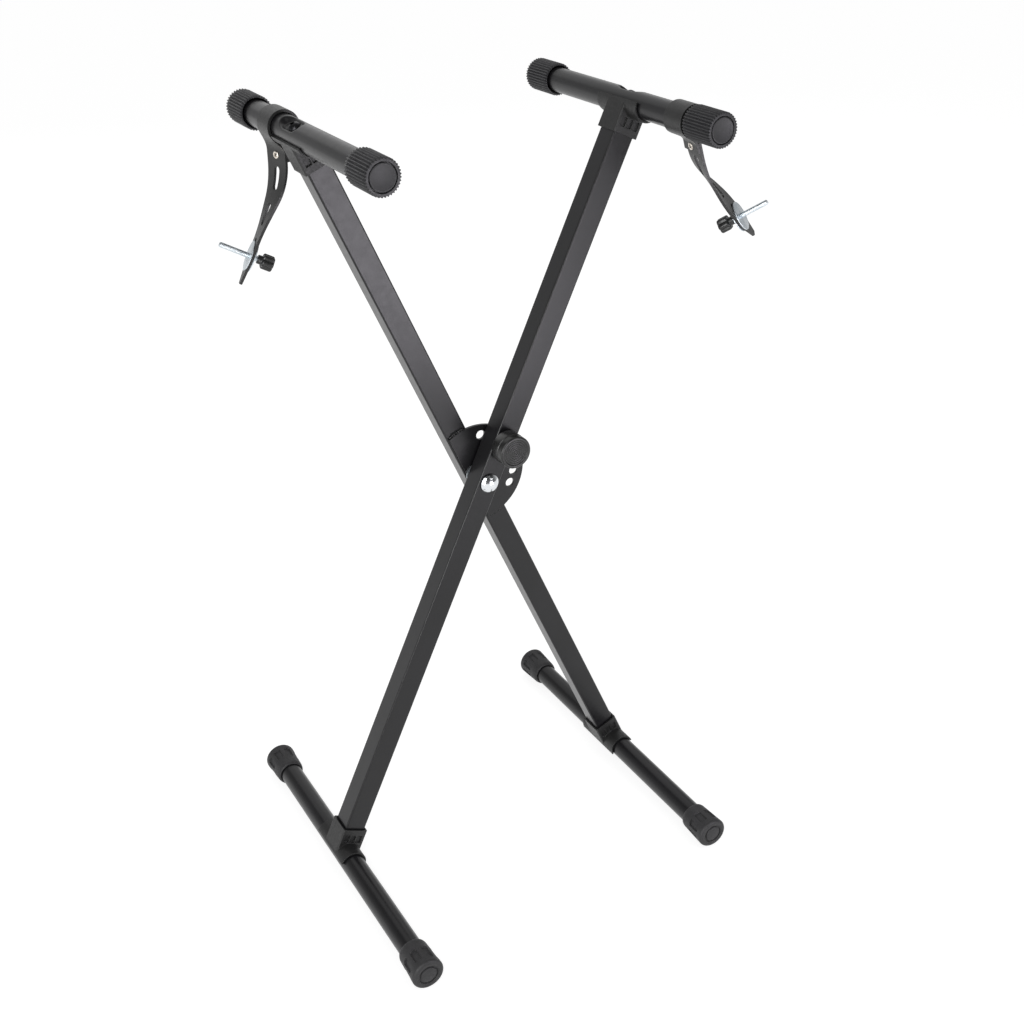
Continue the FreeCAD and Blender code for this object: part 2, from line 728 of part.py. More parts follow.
nodes = {"front_leg": placed(front_leg(), front_frame), "rear_leg": placed(rear_leg(), rear_facing)}
nodes.update(foot_set("left", front_frame, -1))
nodes.update(foot_set("right", rear_facing, 1))
nodes.update(arm_set("right", front_frame, right_arm_hole_offset))
nodes.update(arm_set("left", rear_facing, left_arm_hole_offset))
for piece in (pivot_bolt, pivot_washers, pivot_nut, pivot_glide, pivot_spacer,
              lock_housing, lock_pin, lock_spring, lock_knob):
    nodes[piece.__name__] = placed(piece(), front_frame)
for piece in (pivot_bushing, lock_plate, plate_welds):
    nodes[piece.__name__] = placed(piece(), plate_frame)
left_set = strap_set("left", rear_facing, left_strap_place, 180, left_strap_swing_deg, left_twists)
right_set = strap_set("right", front_frame, right_strap_place, 0, right_strap_swing_deg, right_twists)
nodes.update(left_set[0])
nodes.update(right_set[0])

# The origin goes to the middle of the stand's plan box, on the floor
box = FreeCAD.BoundBox()
for shape in nodes.values():
    box.add(shape.optimalBoundingBox(False))
to_origin = shift(-box.Center.x, -box.Center.y, -box.ZMin)

os.makedirs("parts", exist_ok=True)
for name, shape in nodes.items():
    shape = placed(shape, to_origin)
    if not shape.isValid() or any(solid.Volume <= 0 for solid in shape.Solids):
        raise ValueError(f"{name} is not a sound solid")
    shape.exportStep(f"parts/{name}.step")

print(len(nodes), "nodes, box", box.XLength, box.YLength, box.ZLength)
places = {"fold axis": at(0, 0, pivot_height), "lock pin": front_frame.multVec(at(0, 0, lock_radius)),
          "left strap": left_set[1], "left screw": left_set[2], "right strap": right_set[1],
          "right screw": right_set[2], "left foot": front_frame.multVec(at(0, 0, -foot_reach)),
          "right arm": front_frame.multVec(at(0, 0, arm_reach)),
          "left arm": rear_facing.multVec(at(0, 0, arm_reach)),
          "right foot": rear_facing.multVec(at(0, 0, -foot_reach))}
for name, point in places.items():
    print(name, [round(value, 4) for value in to_origin.multVec(point)])
for name, direction in (("left screw line", left_set[3]), ("right screw line", right_set[3])):
    print(name, [round(value, 6) for value in direction])
print("fold range", folded_angle_deg - 2 * leg_tilt_deg, open_angle_deg - 2 * leg_tilt_deg)
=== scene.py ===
# %% [markdown]
# # A folding X stand for a keyboard
# Two square steel legs cross on one bolt. Each leg carries a round tube at both ends: a foot tube
# with rubber caps below, an arm tube with fluted grips above. A spring pin in a hole plate sets the
# width, and two straps with thumbscrews hold the instrument down. The exact solids come from CAD and
# stay as they are where flat steel is all there is to see. The turned, moulded and bent pieces get
# finer surfaces here, each worked out as a grid of points.

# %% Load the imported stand
import json
import math

import bmesh
import bpy
import numpy as np
from mathutils import Matrix, Vector


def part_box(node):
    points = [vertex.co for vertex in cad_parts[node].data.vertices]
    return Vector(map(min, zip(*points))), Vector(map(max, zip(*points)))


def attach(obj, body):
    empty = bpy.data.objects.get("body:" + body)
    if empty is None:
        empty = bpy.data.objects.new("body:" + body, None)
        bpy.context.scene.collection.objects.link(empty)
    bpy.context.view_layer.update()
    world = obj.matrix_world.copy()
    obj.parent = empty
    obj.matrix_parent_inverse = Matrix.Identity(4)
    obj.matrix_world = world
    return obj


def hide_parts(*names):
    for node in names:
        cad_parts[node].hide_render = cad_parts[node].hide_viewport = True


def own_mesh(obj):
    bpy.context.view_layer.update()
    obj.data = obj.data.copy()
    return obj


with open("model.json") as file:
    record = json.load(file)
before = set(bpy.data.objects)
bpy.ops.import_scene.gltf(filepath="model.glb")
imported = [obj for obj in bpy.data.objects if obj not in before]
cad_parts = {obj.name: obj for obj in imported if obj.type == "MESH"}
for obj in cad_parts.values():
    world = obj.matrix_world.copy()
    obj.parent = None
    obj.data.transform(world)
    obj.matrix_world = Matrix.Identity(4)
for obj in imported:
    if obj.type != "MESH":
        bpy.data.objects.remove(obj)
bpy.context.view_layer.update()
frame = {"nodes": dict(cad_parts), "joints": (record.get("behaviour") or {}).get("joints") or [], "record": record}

# %% [markdown]
# ## Surfaces from grids
# A turned or moulded piece could be carved from primitives, but then every ridge costs a boolean cut.
# A grid of points is simpler: the row says how far along the profile a point is, the column how far
# round the axis. Radii, ridges and recesses are then plain sums of arrays. Rows that shrink to one
# point become poles and are welded, so each mesh is closed.

# %% A mesh from grids of points
MM = 0.001
SHARP_ANGLE = math.radians(32)
WELD_DISTANCE = 1e-7


def grid_cells(rows, columns, close_rows, close_columns):
    """Corner numbers of each cell of a grid. A closed direction also joins its last line to its first."""
    number = np.arange(rows * columns).reshape(rows, columns)
    if close_rows:
        number = np.vstack([number, number[:1]])
    if close_columns:
        number = np.hstack([number, number[:, :1]])
    return np.stack([number[:-1, :-1], number[:-1, 1:], number[1:, 1:], number[1:, :-1]], axis=-1)


def surface(name, *grids, close_rows=False, close_columns=True, keep=None):
    """Object from grids of points in millimetres, shaped (row, column, xyz), with one face per kept cell."""
    faces = []
    start = 0
    for grid in grids:
        rows, columns = grid.shape[:2]
        cells = grid_cells(rows, columns, close_rows, close_columns) + start
        faces.append(cells.reshape(-1, 4) if keep is None else cells[keep])
        start += rows * columns
    points = np.concatenate([grid.reshape(-1, 3) for grid in grids]) * MM
    mesh = bpy.data.meshes.new(name)
    mesh.from_pydata(points.tolist(), [], np.concatenate(faces).tolist())
    work = bmesh.new()
    work.from_mesh(mesh)
    bmesh.ops.remove_doubles(work, verts=work.verts, dist=WELD_DISTANCE)
    loose = [vert for vert in work.verts if not vert.link_faces]
    bmesh.ops.delete(work, geom=loose, context="VERTS")
    bmesh.ops.recalc_face_normals(work, faces=work.faces)
    work.to_mesh(mesh)
    work.free()
    mesh.shade_smooth()
    mesh.set_sharp_from_angle(angle=SHARP_ANGLE)
    piece = bpy.data.objects.new(name, mesh)
    bpy.context.scene.collection.objects.link(piece)
    return piece


print("a grid of 2 x 3 points, closed round, has", len(grid_cells(2, 3, False, True)[0]), "faces")

# %% Points round an axis
UP = np.array([0.0, 0.0, 1.0])
ALONG_Y = np.array([0.0, 1.0, 0.0])


def turns(count):
    """Angles of one full turn, evenly spaced, without the last that would repeat the first."""
    return np.linspace(0, 2 * math.pi, count, endpoint=False)


def around(origin, axis, along, radius, angle):
    """Origin, plus the distance along the axis, plus the radius at an angle counted from the upper side."""
    axis = np.asarray(axis, float) / np.linalg.norm(axis)
    upper = UP - axis * (UP @ axis)
    upper = upper / np.linalg.norm(upper)
    side = np.cross(axis, upper)
    along, radius, angle = np.broadcast_arrays(along, radius, angle)
    across = (radius * np.cos(angle))[..., None] * upper + (radius * np.sin(angle))[..., None] * side
    return np.asarray(origin, float) + along[..., None] * axis + across


def columns_of(corners):
    """Profile corners as upright arrays, one per value, ready to be spread round the axis."""
    return [column[:, None] for column in np.array(corners, float).T]


def ease(share):
    """Smooth step: 0 below 0, 1 above 1, and 3s^2 - 2s^3 between."""
    share = np.clip(share, 0, 1)
    return share * share * (3 - 2 * share)


def quarter(start, end, count=7):
    """Rounded corner from (along, radius) to (along, radius): a quarter of an ellipse, radius first."""
    bend = np.linspace(0, math.pi / 2, count)
    along = start[0] + (end[0] - start[0]) * (1 - np.cos(bend))
    radius = start[1] + (end[1] - start[1]) * np.sin(bend)
    return list(zip(along, radius))


print("a point 5 mm up a sloping axis:", around((0, 0, 0), (1, 0, 1), 5.0, 0.0, 0.0).round(3))

# %% [markdown]
# ## Places
# Nothing is fitted by eye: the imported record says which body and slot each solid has, the boxes of
# the solids say where the tubes lie, and the joints give the pivot and the lines of the thumbscrews.

# %% Places from the frame
joints = {joint["name"]: joint for joint in frame["joints"]}
members = frame["record"]["behaviour"]["bodies"]
body_of = {node: body for body, names in members.items() for node in names}
slot_of = {part["node"]: part["material_slot"] for part in frame["record"]["subparts"]}
pivot = np.array(joints["fold"]["pos_m"]) / MM


def box_mm(node):
    """Low and high corner of a solid's box, in millimetres."""
    low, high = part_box(node)
    return np.array(low) / MM, np.array(high) / MM


def middle(node):
    """Half of the sum of both corners of a solid's box."""
    low, high = box_mm(node)
    return (low + high) / 2


lean = middle("right_arm_tube") - middle("left_foot_tube")
LEAN = math.atan2(lean[0], lean[2])
print("pivot", pivot.round(2), "front leg leans", round(math.degrees(LEAN), 2), "degrees")

# %% [markdown]
# ## Finishes
# Every finish is built from the same few steps: a cloudy pattern in metres on the object, spread over
# a range of tone or roughness, bumps of a real depth, and a rounded-edge normal that catches light
# along sharp edges. There the colour is painted lighter, partly as wear and partly as a painted highlight. Only
# the scale and the depth differ.

# %% Steps that every finish shares
# Edges are painted lighter, partly as wear and partly as a painted highlight; these set where and in what patches.
EDGE_AGREEMENT = (0.80, 0.99)
WEAR_AND_HIGHLIGHT_PATCH = 7.0
WEAR_AND_HIGHLIGHT_SHARES = (0.15, 1.0)


def add_node(tree, kind, sockets=None, **options):
    """Adds a shader node. A socket is linked to another node's output or set to a plain value."""
    made = tree.nodes.new(kind)
    for option, value in options.items():
        setattr(made, option, value)
    for socket, value in (sockets or {}).items():
        if isinstance(value, bpy.types.NodeSocket):
            tree.links.new(value, made.inputs[socket])
        else:
            made.inputs[socket].default_value = value
    return made


def clouds(tree, place, size_mm, detail=2.0):
    """Soft random pattern with patches of about this size."""
    values = {"Vector": place, "Scale": 1 / (size_mm * MM), "Detail": detail}
    return add_node(tree, "ShaderNodeTexNoise", values).outputs[0]


def spread(tree, source, low, high, start=0.35, stop=0.65):
    """Carries the range start to stop of a pattern over to low to high."""
    values = {"Value": source, "From Min": start, "From Max": stop, "To Min": low, "To Max": high}
    return add_node(tree, "ShaderNodeMapRange", values).outputs[0]


def tone(tree, share, first, second):
    """Colour that goes from the first to the second with the share."""
    return add_node(tree, "ShaderNodeMix", {0: share, 6: first, 7: second}, data_type="RGBA").outputs[2]


def relief(tree, height, depth_mm, under):
    """Bumps of this depth, laid over the surface direction below."""
    values = {"Height": height, "Distance": depth_mm * MM, "Normal": under}
    return add_node(tree, "ShaderNodeBump", values).outputs[0]


def edge_wear_and_highlight(tree, place, rounded):
    """Share that grows along edges, where the rounded direction leaves the flat one, broken up by clouds. It marks
    where edges are painted lighter, as wear and as a painted highlight.
    """
    flat = add_node(tree, "ShaderNodeNewGeometry").outputs["Normal"]
    agree = add_node(tree, "ShaderNodeVectorMath", {0: rounded, 1: flat}, operation="DOT_PRODUCT")
    edge = spread(tree, agree.outputs["Value"], 1, 0, *EDGE_AGREEMENT)
    broken = spread(tree, clouds(tree, place, WEAR_AND_HIGHLIGHT_PATCH, 4.0), *WEAR_AND_HIGHLIGHT_SHARES)
    return add_node(tree, "ShaderNodeMath", {0: edge, 1: broken}, operation="MULTIPLY").outputs[0]


def grey(level, blue=0.0):
    """Neutral colour of this level, with a trace of blue."""
    return (level, level * (1 - blue / 4), level * (1 + blue), 1.0)


# The edges are painted lighter in these patches, partly as wear and partly as a painted highlight.
print("edges wear in patches of", WEAR_AND_HIGHLIGHT_PATCH, "mm")

# %% Coats, plastics and rubbers
SKIN_GRAIN = 9


def skin_finish(name, tones, patch_mm, roughness, bumps, edge_mm, worn_and_highlight, shine=0.5):
    """Coated or moulded skin: tone and gloss drift in patches, bumps are laid one over the other."""
    material = bpy.data.materials.new(name)
    material.use_nodes = True
    tree = material.node_tree
    shader = tree.nodes["Principled BSDF"]
    shader.inputs["Specular IOR Level"].default_value = shine
    place = add_node(tree, "ShaderNodeTexCoord").outputs["Object"]
    patches = clouds(tree, place, patch_mm, 4.0)
    rounded = add_node(tree, "ShaderNodeBevel", {"Radius": edge_mm * MM}, samples=4).outputs[0]
    base = tone(tree, spread(tree, patches, 0, 1), *tones)
    # Edge colour painted lighter along sharp edges: partly wear, partly a painted highlight.
    base = tone(tree, edge_wear_and_highlight(tree, place, rounded), base, worn_and_highlight)
    tree.links.new(base, shader.inputs["Base Color"])
    fine = clouds(tree, place, patch_mm / SKIN_GRAIN, 3.0)
    tree.links.new(spread(tree, fine, *roughness), shader.inputs["Roughness"])
    normal = rounded
    for size_mm, depth_mm in bumps:
        normal = relief(tree, clouds(tree, place, size_mm), depth_mm, normal)
    tree.links.new(normal, shader.inputs["Normal"])
    return material


# The last colour of each skin is its edge colour, painted lighter as wear and as a painted highlight.
finishes = {
    "coated_steel": skin_finish("satin black coat", (grey(0.008, 0.10), grey(0.012, 0.14)), 70.0,
                                (0.28, 0.32), [(1.3, 0.003)], 0.4, grey(0.060, 0.1), shine=0.42),
    "saddle_plastic": skin_finish("matte saddle plastic", (grey(0.013), grey(0.019)), 24.0,
                                  (0.42, 0.56), [(0.55, 0.010)], 0.7, grey(0.050)),
    "foot_rubber": skin_finish("foot rubber", (grey(0.026, 0.05), grey(0.036, 0.06)), 18.0,
                               (0.50, 0.66), [(4.0, 0.030), (0.6, 0.012)], 0.5, grey(0.070)),
    "grip_rubber": skin_finish("grip rubber", (grey(0.026, 0.08), grey(0.034, 0.10)), 22.0,
                               (0.40, 0.50), [(0.6, 0.012)], 0.3, grey(0.065, 0.1)),
    "plug_plastic": skin_finish("end plug plastic", (grey(0.030, 0.08), grey(0.038, 0.10)), 9.0,
                                (0.48, 0.60), [(0.5, 0.010)], 0.3, grey(0.080, 0.1)),
    "strap_rubber": skin_finish("strap rubber", (grey(0.016), grey(0.023)), 16.0,
                                (0.36, 0.48), [(2.5, 0.020), (0.5, 0.008)], 0.4, grey(0.055)),
    "knob_plastic": skin_finish("knob plastic", (grey(0.017), grey(0.023)), 12.0,
                                (0.27, 0.37), [(0.5, 0.008)], 0.4, grey(0.060)),
    "glide_nylon": skin_finish("natural nylon", (grey(0.70, -0.05), grey(0.78, -0.03)), 14.0,
                               (0.32, 0.44), [(0.7, 0.008)], 0.3, grey(0.82, -0.02)),
}
print(len(finishes), "skins")

# %% [markdown]
# Plated metal is bright because it mirrors the room, so its base colour is high and its character is
# in the roughness: plating clouds a little, and handling leaves fine scratches.

# %% Plated metals
METAL_GRAIN = 5
SCRATCH_STRETCH = (1.0, 6.0, 1.0)


def metal_finish(name, tones, patch_mm, roughness, scratch_mm, scratch_depth_mm):
    """Plated metal: tone and roughness drift in patches, and scratches are clouds squeezed along y."""
    material = bpy.data.materials.new(name)
    material.use_nodes = True
    tree = material.node_tree
    shader = tree.nodes["Principled BSDF"]
    shader.inputs["Metallic"].default_value = 1.0
    place = add_node(tree, "ShaderNodeTexCoord").outputs["Object"]
    patches = clouds(tree, place, patch_mm, 4.0)
    tree.links.new(tone(tree, spread(tree, patches, 0, 1), *tones), shader.inputs["Base Color"])
    fine = clouds(tree, place, patch_mm / METAL_GRAIN, 3.0)
    tree.links.new(spread(tree, fine, *roughness), shader.inputs["Roughness"])
    values = {"Vector": place, "Scale": SCRATCH_STRETCH}
    stretched = add_node(tree, "ShaderNodeMapping", values).outputs[0]
    flat = add_node(tree, "ShaderNodeNewGeometry").outputs["Normal"]
    scratches = relief(tree, clouds(tree, stretched, scratch_mm), scratch_depth_mm, flat)
    tree.links.new(scratches, shader.inputs["Normal"])
    return material


zinc_tones = ((0.56, 0.62, 0.66, 1), (0.70, 0.74, 0.77, 1))
finishes["zinc_steel"] = metal_finish("zinc plate", zinc_tones, 9.0, (0.34, 0.46), 0.8, 0.002)
bright_tones = ((0.70, 0.72, 0.74, 1), (0.80, 0.82, 0.84, 1))
finishes["bright_steel"] = metal_finish("bright plate", bright_tones, 7.0, (0.09, 0.17), 1.2, 0.0012)
nickel_tones = ((0.70, 0.64, 0.56, 1), (0.80, 0.75, 0.68, 1))
finishes["rivet_nickel"] = metal_finish("nickel eyelet", nickel_tones, 4.0, (0.14, 0.26), 0.6, 0.001)
oxide_tones = ((0.035, 0.035, 0.038, 1), (0.060, 0.060, 0.064, 1))
finishes["black_bolt"] = metal_finish("black oxide", oxide_tones, 5.0, (0.24, 0.38), 0.6, 0.001)
print(len(finishes), "finishes in all")

# %% Dressing


def dress(piece, *nodes):
    """Gives a piece the finish of the solid it stands for, and lets it move with that solid's body."""
    slot = slot_of[nodes[0]]
    piece.data.materials.append(finishes[slot])
    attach(piece, body_of[nodes[0]])
    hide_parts(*nodes)
    return len(piece.data.polygons)


for node, solid in frame["nodes"].items():
    solid.material_slots[0].material = finishes[slot_of[node]]
print("finishes laid on", len(frame["nodes"]), "solids")

# %% [markdown]
# ## Cross tubes
# A cross tube is round steel tube with one pocket pressed into its outer side, deep enough to sink the
# head of the bolt that holds it to the leg. A cut pocket would have sharp walls. Pressed steel flows,
# so the height above the tube's axis is eased down to the flat floor across a ramp, and the ramp is
# longer at the two ends of the pocket.

# %% Tubes with a pressed pocket
TUBE_WALL = 1.5
POCKET_HALF_LENGTH = 16.0
POCKET_HALF_WIDTH = 8.5
POCKET_DEPTH = 6.0
POCKET_RAMP = 5.0
END_SLOPE = 0.6
POCKET_REACH = 28.0
TUBE_COLUMNS = 128


def tube_skin(radius, floor, grow, along, angle):
    """Height and side of a round tube. Inside an oblong the height falls to the floor over the ramp."""
    height = radius * np.cos(angle)
    side = radius * np.sin(angle)
    beyond = END_SLOPE * np.maximum(np.abs(along) - (POCKET_HALF_LENGTH - POCKET_HALF_WIDTH), 0)
    outside = np.hypot(side, beyond) - POCKET_HALF_WIDTH - grow
    pressed = floor + (height - floor) * ease(outside / POCKET_RAMP + 0.5)
    return np.where(height > floor, pressed, height + 0 * along), side + 0 * along


def cross_tube(stem):
    """Outer skin from end to end, then the inner skin back again, so that the wall is one closed sheet."""
    low, high = box_mm(stem + "_tube")
    centre = middle(stem + "_tube")
    radius = (high[2] - low[2]) / 2
    centre[1] = middle(stem + "_bolt")[1]
    outward = centre - pivot
    outward[1] = 0
    outward = outward / np.linalg.norm(outward)
    sideways = np.cross(ALONG_Y, outward)
    front, rear = low[1] - centre[1], high[1] - centre[1]
    steps = [np.linspace(front, -POCKET_REACH, 9), np.linspace(-POCKET_REACH, POCKET_REACH, 61),
             np.linspace(POCKET_REACH, rear, 9)]
    along = np.unique(np.concatenate(steps))[:, None]
    angle = turns(TUBE_COLUMNS)
    floor = radius - POCKET_DEPTH
    skins = []
    for inset, stations in ((0.0, along), (TUBE_WALL, along[::-1])):
        height, side = tube_skin(radius - inset, floor - inset, inset, stations, angle)
        reach = np.broadcast_to(stations, height.shape)
        skins.append(centre + height[..., None] * outward + side[..., None] * sideways
                     + reach[..., None] * ALONG_Y)
    return surface(stem + "_pressed_tube", np.concatenate(skins), close_rows=True)


STEMS = ("left_foot", "right_foot", "left_arm", "right_arm")
for stem in STEMS:
    print(stem, "tube:", dress(cross_tube(stem), stem + "_tube"), "faces")

# %% [markdown]
# ## Foot caps
# Each end of a foot tube wears a moulded rubber cap: a convex shoulder, a barrel with eight shallow
# recesses, a rounded rim and a ring groove in the end face. The barrel is a turned profile, and the
# recesses are one smooth depth taken off its radius. The underside is flat where the stand rests.

# %% Barrel caps with recesses
CAP_LENGTH = 45.0
CAP_RECESSES = 8
RECESS_MIDDLE = 26.0
RECESS_HALF_LENGTH = 9.0
RECESS_HALF_WIDTH = 4.25
RECESS_CORNER = 1.5
RECESS_DEPTH = 2.1
RECESS_EDGE = 0.5
BARREL_INSIDE = 15.0


def cap_profile():
    """(along, radius) from the closed end of the bore, round the mouth and the barrel, to the end face."""
    bore = [(39.0, 0.0), (39.0, 14.4), (2.0, 14.4), (0.3, 14.8), (0.0, 15.2)]
    barrel_along = np.linspace(7.0, 41.0, 96)
    barrel = list(zip(barrel_along, np.linspace(18.2, 20.0, 96)))[1:-1]
    rim = quarter((CAP_LENGTH, 16.0), (41.0, 20.0), 9)[::-1]
    face = [(45.0, 14.6), (44.8, 14.2), (44.4, 13.9), (44.4, 12.5), (42.9, 12.2), (42.9, 10.4), (44.5, 10.1),
            (44.8, 9.6), (44.8, 0.0)]
    return bore + quarter((0.0, 15.7), (7.0, 18.2), 9) + barrel + rim + face


def end_place(stem, piece, end, length):
    """Mouth of the piece on one end of a tube and the direction in which its closed end points."""
    low, high = box_mm(f"{stem}_{piece}_{end}")
    mouth = middle(stem + "_tube")
    mouth[1] = high[1] if end == "front" else low[1]
    print(f"{stem}_{piece}_{end} is", round(high[1] - low[1], 2), "mm long, profile", length)
    return mouth, -ALONG_Y if end == "front" else ALONG_Y


def foot_cap(stem, end):
    """Radius = profile - depth inside oblongs round the barrel, eased over their edge."""
    mouth, axis = end_place(stem, "cap", end, CAP_LENGTH)
    along, radius = columns_of(cap_profile())
    angle = turns(CAP_RECESSES * 36)
    step = 2 * math.pi / CAP_RECESSES
    side = (np.mod(angle, step) - step / 2) * radius
    aside = np.maximum(np.abs(side) - RECESS_HALF_WIDTH + RECESS_CORNER, 0)
    beyond = np.maximum(np.abs(along - RECESS_MIDDLE) - RECESS_HALF_LENGTH + RECESS_CORNER, 0)
    inside = RECESS_CORNER - np.hypot(aside, beyond)
    outer = radius > BARREL_INSIDE
    radius = radius - outer * RECESS_DEPTH * ease(inside / RECESS_EDGE + 0.5)
    points = around(mouth, axis, along, radius, angle)
    points[..., 2] = np.maximum(points[..., 2], 0)
    return surface(f"{stem}_barrel_cap_{end}", points)


ENDS = ("front", "rear")
for stem in STEMS[:2]:
    for end in ENDS:
        print(dress(foot_cap(stem, end), f"{stem}_cap_{end}"), "faces")

# %% [markdown]
# ## Grips
# The arms end in thick rubber sleeves with 36 ridges. Sweeping each ridge would give 36 small pieces
# to join. Here one raised cosine takes all the valleys off the radius, and its power makes the crowns
# a little broader. The ridges run out over the rounded end, and a dark ring stays open round the flat
# plug in the middle of the end face.

# %% Fluted grips
GRIP_LENGTH = 46.5
GRIP_RIDGES = 36
RIDGE_DEPTH = 1.7
VALLEY_POWER = 1.1


def grip_profile():
    """(along, radius, share of the ridges) round the closed section of the sleeve."""
    bore = [(5.0, 14.4, 0), (43.5, 14.4, 0), (43.5, 14.6, 0), (46.1, 14.6, 0), (46.5, 14.9, 0)]
    face = [(46.5, 17.2, 0), (46.45, 17.9, 0.6), (46.3, 18.4, 0.9), (45.9, 18.75, 1), (45.2, 18.9, 1)]
    side = [(35.0, 18.9, 1), (23.0, 18.9, 1), (12.0, 18.9, 1), (1.5, 18.9, 1)]
    mouth = [(0.7, 18.8, 1), (0.2, 18.4, 0.9), (0.05, 17.9, 0.6), (0.0, 17.2, 0), (0.0, 16.5, 0),
             (0.5, 16.2, 0)]
    return bore + face + side + mouth


def grip(stem, end):
    """Radius = profile - depth x share x ((1 + cosine of one wave per ridge) / 2) to a power."""
    mouth, axis = end_place(stem, "grip", end, GRIP_LENGTH)
    along, radius, share = columns_of(grip_profile())
    angle = turns(GRIP_RIDGES * 10)
    valley = ((1 + np.cos(GRIP_RIDGES * angle)) / 2) ** VALLEY_POWER
    radius = radius - RIDGE_DEPTH * share * valley
    return surface(f"{stem}_fluted_grip_{end}", around(mouth, axis, along, radius, angle), close_rows=True)


def end_plug(stem, end):
    """Turned disc with a low raised rim, on a stem that fills the tube."""
    mouth, axis = end_place(stem, "grip", end, GRIP_LENGTH)
    profile = [(29.5, 0.0), (29.5, 12.3), (29.9, 12.7), (43.5, 12.7), (43.5, 13.6)]
    profile += [(45.7, 13.6), (46.2, 13.45), (46.45, 13.1), (46.5, 12.6), (46.45, 12.2), (46.3, 11.9),
                (46.3, 0.0)]
    along, radius = columns_of(profile)
    return surface(f"{stem}_round_plug_{end}", around(mouth, axis, along, radius, turns(72)))


for stem in STEMS[2:]:
    for end in ENDS:
        faces = dress(grip(stem, end), f"{stem}_grip_{end}")
        print(faces + dress(end_plug(stem, end), f"{stem}_plug_{end}"), "faces")

# %% [markdown]
# ## Pivot and lock
# The pivot bolt has a smooth plated dome, a cap of a sphere. The pull knob of the lock is turned: its
# face carries fine rings, and a low lip round them catches the light. The coil spring behind it is
# pressed together as the knob is drawn. Two weld beads on the rim of the hole plate hold it to the rear
# leg. A bead is never even, so its size ripples along the seam.

# %% Dome bolt
DOME_HEIGHT = 6.5
DOME_LAND = 0.6
BOLT_RADIUS = 5.0
HEAD_RADIUS = 11.7


def pivot_bolt():
    """Cap of a sphere on a narrow land, then the shank: radius = R sin(a), along = R (1 - cos(a))."""
    low, high = box_mm("pivot_bolt")
    length = high[1] - low[1]
    rise = DOME_HEIGHT - DOME_LAND
    sphere = (HEAD_RADIUS ** 2 + rise ** 2) / (2 * rise)
    bend = np.linspace(0, math.asin(HEAD_RADIUS / sphere), 26)
    dome = list(zip(sphere * (1 - np.cos(bend)), sphere * np.sin(bend)))
    shank = [(DOME_HEIGHT, HEAD_RADIUS), (DOME_HEIGHT, BOLT_RADIUS), (length - 1.0, BOLT_RADIUS),
             (length, BOLT_RADIUS - 1.0), (length, 0.0)]
    along, radius = columns_of(dome + shank)
    crown = pivot + ALONG_Y * (low[1] - pivot[1])
    return surface("pivot_dome_bolt", around(crown, ALONG_Y, along, radius, turns(96)))


print("dome bolt:", dress(pivot_bolt(), "pivot_bolt"), "faces")

# %% Pull knob
RING_PITCH = 2.6
RING_DEPTH = 0.55


def lock_knob():
    """Turned about the pin: rings, a folded sine of the radius, then lip, rim, waist and hollow back."""
    low, high = box_mm("lock_knob")
    face = middle("lock_knob")
    face[1] = low[1]
    ring_radius = np.linspace(0, 15.4, 89)
    ring_along = 0.9 + RING_DEPTH * np.abs(np.sin(math.pi * ring_radius / RING_PITCH))
    rings = list(zip(ring_along, ring_radius))
    lip = [(0.9, 15.6), (0.3, 15.9), (0.06, 16.3), (0.0, 16.8)]
    rim = quarter((0.0, 17.5), (2.5, 20.0), 9)
    waist = [(8.4, 20.0), (8.8, 19.7), (9.1, 19.3), (10.1, 19.3), (10.4, 19.7), (10.8, 20.0)]
    back = [(23.2, 20.0), (23.8, 19.7), (24.0, 19.2), (24.0, 13.8), (23.7, 13.5), (15.5, 13.5), (15.5, 4.1),
            (6.0, 4.1), (6.0, 0.0)]
    along, radius = columns_of(rings + lip + rim + waist + back)
    return surface("lock_pull_knob", around(face, ALONG_Y, along, radius, turns(96)))


print("pull knob:", dress(lock_knob(), "lock_knob"), "faces")

# %% Coil spring of the lock
WIRE_RADIUS = 0.75
SPRING_RADIUS = 5.3
SPRING_TURNS = 6.5
FLAT_TURNS = 0.5


def lock_spring(low, high, centre):
    """Wire circle carried along a helix; the first and last part of a turn stay level."""
    turned = np.linspace(0, SPRING_TURNS, 200)[:, None]
    rise = np.clip((turned - FLAT_TURNS) / (SPRING_TURNS - 2 * FLAT_TURNS), 0, 1)
    height = WIRE_RADIUS + (high[1] - low[1] - 2 * WIRE_RADIUS) * rise
    wire = turns(12)
    thickness = np.full(len(turned), WIRE_RADIUS)
    thickness[[0, -1]] = 0
    along = height + thickness[:, None] * np.sin(wire)
    radius = SPRING_RADIUS + thickness[:, None] * np.cos(wire)
    origin = np.array([centre[0], low[1], centre[2]])
    return surface("lock_coil_spring", around(origin, ALONG_Y, along, radius, 2 * math.pi * turned))


low, high = box_mm("lock_spring")
coil = lock_spring(low, high, middle("lock_spring"))
print("coil spring:", dress(coil, "lock_spring"), "faces,", round(high[1] - low[1], 2), "mm long")
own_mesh(coil)

# %% Weld beads
WELD_LENGTH = 21.0
WELD_SIZE = 3.0
PLATE_RADIUS = 63.5
LEG_FACE = 19.0


